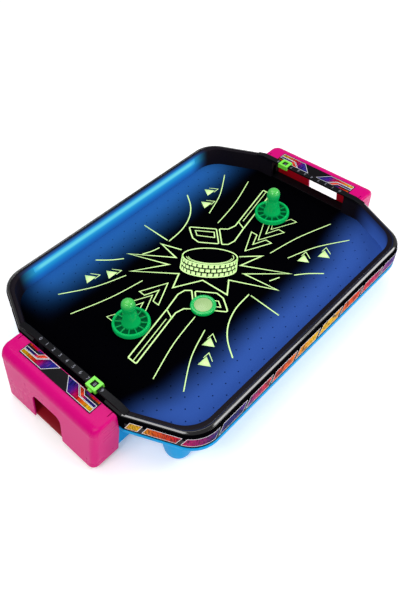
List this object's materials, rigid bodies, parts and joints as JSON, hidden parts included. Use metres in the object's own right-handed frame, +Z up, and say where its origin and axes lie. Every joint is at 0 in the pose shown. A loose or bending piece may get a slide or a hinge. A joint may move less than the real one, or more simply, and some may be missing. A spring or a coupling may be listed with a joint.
{
  "type": "tabletop air hockey game",
  "caption": "Tabletop air hockey game: blower-fed playing surface with walls, light bars, goal boxes, score sliders, strikers and a puck.",
  "frame": {"origin": "on the ground under the table's centre", "axes": "+X along the table towards the far goal, +Y towards the back long wall, +Z up"},
  "size_m": [0.5596, 0.3536, 0.0986],
  "materials": {
    "cyan_plastic": "satin moulded",
    "black_plastic": "gloss moulded",
    "printed_field": "printed sheet, satin",
    "light_plastic": "translucent, lit",
    "circuit_board": "white circuit board",
    "pink_plastic": "semi-gloss moulded",
    "tray_plastic": "satin moulded",
    "printed_label": "printed film",
    "lime_plastic": "semi-gloss moulded",
    "green_plastic": "translucent, polished",
    "puck_core_plastic": "translucent, lit",
    "felt": "short felt",
    "rubber": "matte",
    "steel": "plated",
    "grey_plastic": "satin moulded",
    "white_plastic": "satin moulded",
    "battery_skin": "printed sleeve",
    "wire_skin": "soft PVC"
  },
  "bodies": {
    "table": {"base_tub": "cyan_plastic", "rim_frame": "black_plastic", "play_surface": "printed_field", "light_rail_front": "light_plastic", "light_rail_back": "light_plastic", "led_strip_front": "circuit_board", "led_strip_back": "circuit_board", "side_label_front": "printed_label", "side_label_back": "printed_label", "intake_grille": "grey_plastic", "fan_housing": "grey_plastic", "fan_motor": "steel", "battery_box": "grey_plastic", "battery_contacts_back": "steel", "battery_contacts_front": "steel", "switch_body": "black_plastic", "wire_battery_switch": "wire_skin", "wire_switch_motor": "wire_skin", "wire_motor_battery": "wire_skin", "score_bar_near": "black_plastic", "goal_box_near": "pink_plastic", "goal_tray_near": "tray_plastic", "box_label_near": "printed_label", "score_bar_far": "black_plastic", "goal_box_far": "pink_plastic", "goal_tray_far": "tray_plastic", "box_label_far": "printed_label", "foot_pad_1": "rubber", "battery_1": "battery_skin", "foot_pad_2": "rubber", "battery_2": "battery_skin", "foot_pad_3": "rubber", "battery_3": "battery_skin", "foot_pad_4": "rubber", "battery_4": "battery_skin", "frame_screw_1": "steel", "frame_screw_2": "steel", "frame_screw_3": "steel", "frame_screw_4": "steel", "frame_screw_5": "steel", "frame_screw_6": "steel", "frame_screw_7": "steel", "frame_screw_8": "steel"},
    "slider_near": {"score_slider_near": "lime_plastic"},
    "slider_far": {"score_slider_far": "lime_plastic"},
    "striker_near": {"striker_near": "green_plastic", "striker_felt_near": "felt"},
    "striker_far": {"striker_far": "green_plastic", "striker_felt_far": "felt"},
    "puck": {"puck_ring": "green_plastic", "puck_core": "puck_core_plastic"},
    "rotor": {"impeller": "white_plastic", "motor_shaft": "steel"},
    "battery_lid": {"battery_door": "cyan_plastic"},
    "switch_slide": {"switch_knob": "grey_plastic"}
  },
  "joints": [
    {"name": "score_near", "type": "slide", "parent": "table", "child": "slider_near", "axis": [0, 1, 0], "range_m": [-0.01216, 0.09728]},
    {"name": "score_far", "type": "slide", "parent": "table", "child": "slider_far", "axis": [0, -1, 0], "range_m": [-0.01216, 0.09728]},
    {"name": "striker_near_slide", "type": "slide", "parent": "table", "child": "striker_near", "axis": [1, 0, 0], "range_m": [-0.072, 0.098]},
    {"name": "striker_far_slide", "type": "slide", "parent": "table", "child": "striker_far", "axis": [1, 0, 0], "range_m": [-0.126, 0.043]},
    {"name": "puck_slide", "type": "slide", "parent": "table", "child": "puck", "axis": [1, 0, 0], "range_m": [-0.181, 0.268]},
    {"name": "fan_spin", "type": "hinge", "parent": "table", "child": "rotor", "pos_m": [0, 0, 0.019], "axis": [0, 0, 1], "continuous": true},
    {"name": "battery_lid_hinge", "type": "hinge", "parent": "table", "child": "battery_lid", "pos_m": [0.14975, 0, 0.0095], "axis": [0, -1, 0], "range_deg": [0, 95]},
    {"name": "power_switch", "type": "slide", "parent": "table", "child": "switch_slide", "axis": [1, 0, 0], "range_m": [0, 0.0055]}
  ]
}
